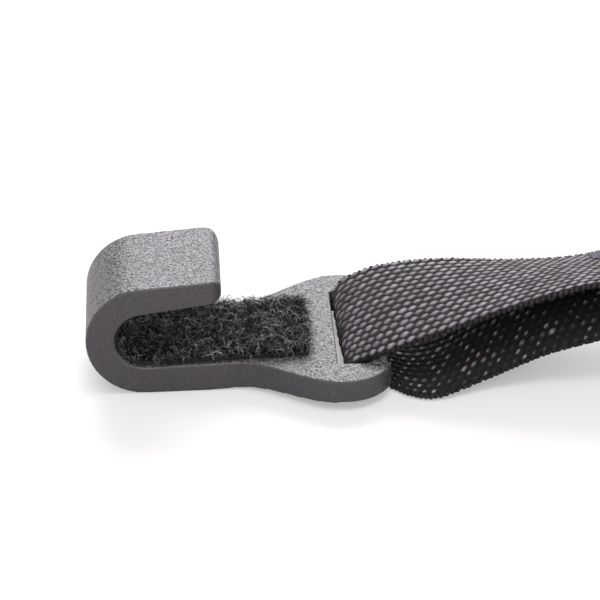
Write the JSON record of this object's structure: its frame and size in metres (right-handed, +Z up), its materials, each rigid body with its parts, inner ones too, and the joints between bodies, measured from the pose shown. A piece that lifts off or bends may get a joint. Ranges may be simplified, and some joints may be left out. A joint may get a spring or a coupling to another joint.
{
  "type": "windlass tourniquet with hook closure",
  "caption": "Black windlass tourniquet with a lined J-hook on a webbing loop, a bundled limb band, adjuster, base plate, rod, lock rings and catch ring.",
  "frame": {"origin": "where the windlass axis meets the underside of the base plate", "axes": "+X along the strap from the hook to the catch ring, +Z up from the surface it lies on"},
  "size_m": [0.5012, 0.0496, 0.0212],
  "materials": {
    "hook_plastic": "matte",
    "black_plastic": "matte",
    "pile": "matte",
    "tension_webbing": "matte",
    "band_webbing": "matte",
    "thread": "matte",
    "tab_tape": "matte",
    "label_cloth": "matte",
    "elastic": "matte",
    "anodised_aluminium": "satin",
    "blackened_steel": "satin",
    "rivet_steel": "satin"
  },
  "bodies": {
    "strap_and_plate": {"hook_loop": "tension_webbing", "hook_loop_stitching": "thread", "limb_band": "band_webbing", "limb_band_adjuster_turn": "band_webbing", "tail_strap": "band_webbing", "tail_tab": "tab_tape", "tail_tab_stitching": "thread", "time_label": "label_cloth", "time_label_stitching": "thread", "tension_strap_adjuster_side": "tension_webbing", "adjuster_strap_stitching": "thread", "tension_strap_crown": "tension_webbing", "tension_strap_ring_side": "tension_webbing", "ring_strap_stitching": "thread", "base_plate": "black_plastic", "ring_clamp_adjuster_side": "black_plastic", "ring_clamp_catch_side": "black_plastic", "clamp_rivets": "rivet_steel"},
    "hook_body": {"hook": "hook_plastic", "hook_pile_lining": "pile"},
    "windlass": {"windlass_rod": "anodised_aluminium"},
    "ring_adjuster_side": {"lock_ring_adjuster_side": "blackened_steel"},
    "ring_catch_side": {"lock_ring_catch_side": "blackened_steel"},
    "adjuster_buckle": {"adjuster": "black_plastic"},
    "catch": {"catch_ring": "blackened_steel"},
    "keeper_1": {"keeper_hook_side": "elastic"},
    "keeper_2": {"keeper_adjuster_side": "elastic"}
  },
  "joints": [
    {"name": "hook_pivot", "type": "hinge", "parent": "strap_and_plate", "child": "hook_body", "pos_m": [-0.3304, 0, 0.00385], "axis": [0, 1, 0], "range_deg": [-75, 65]},
    {"name": "windlass_turn", "type": "hinge", "parent": "strap_and_plate", "child": "windlass", "pos_m": [0, 0, 0.0141], "axis": [0, 0, 1], "continuous": true, "deforming": ["tension_strap_crown"]},
    {"name": "lock_ring_adjuster_side_flip", "type": "hinge", "parent": "strap_and_plate", "child": "ring_adjuster_side", "pos_m": [-0.046, 0, 0.0065], "axis": [0, 1, 0], "range_deg": [0, 125]},
    {"name": "lock_ring_catch_side_flip", "type": "hinge", "parent": "strap_and_plate", "child": "ring_catch_side", "pos_m": [0.046, 0, 0.0065], "axis": [0, -1, 0], "range_deg": [0, 125]},
    {"name": "adjuster_tilt", "type": "hinge", "parent": "strap_and_plate", "child": "adjuster_buckle", "pos_m": [-0.096, 0, 0.00375], "axis": [0, 1, 0], "range_deg": [0, 35], "deforming": ["limb_band_adjuster_turn"]},
    {"name": "catch_ring_flip", "type": "hinge", "parent": "strap_and_plate", "child": "catch", "pos_m": [0.096, 0, 0.00415], "axis": [0, -1, 0], "range_deg": [-60, 120]},
    {"name": "keeper_hook_side_slide", "type": "slide", "parent": "strap_and_plate", "child": "keeper_1", "axis": [1, 0, 0], "range_m": [-0.003, 0.004]},
    {"name": "keeper_adjuster_side_slide", "type": "slide", "parent": "strap_and_plate", "child": "keeper_2", "axis": [1, 0, 0], "range_m": [-0.004, 0.0025]}
  ]
}
